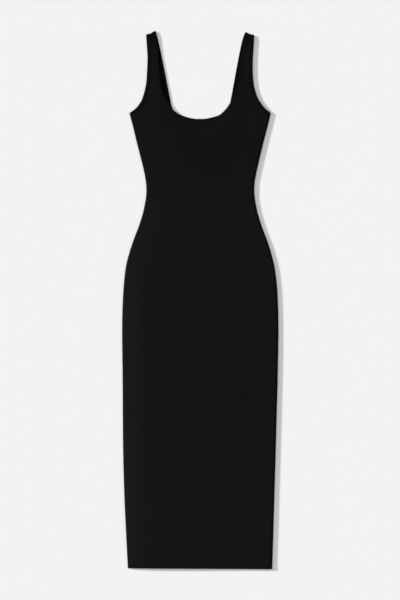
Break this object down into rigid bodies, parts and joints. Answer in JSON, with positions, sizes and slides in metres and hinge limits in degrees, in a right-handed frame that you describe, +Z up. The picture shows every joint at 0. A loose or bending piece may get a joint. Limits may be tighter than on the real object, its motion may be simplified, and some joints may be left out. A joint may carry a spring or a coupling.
{
  "type": "bodycon dress",
  "caption": "Sleeveless bodycon midi dress in plain black knit, with a deep scooped neck and narrow straps, laid flat with its front up.",
  "frame": {"origin": "under the middle of the dress as it lies, on the surface it rests on", "axes": "+X to the right and +Y from the hem to the shoulders, as seen from above with the front up; +Z up, out of the front"},
  "size_m": [0.3607, 1.2419, 0.0098],
  "materials": {
    "knit_front": "matt compact knit, black",
    "knit_back": "matt compact knit, black"
  },
  "bodies": {
    "root": {"front_panel": "knit_front", "back_panel": "knit_back"}
  },
  "joints": []
}
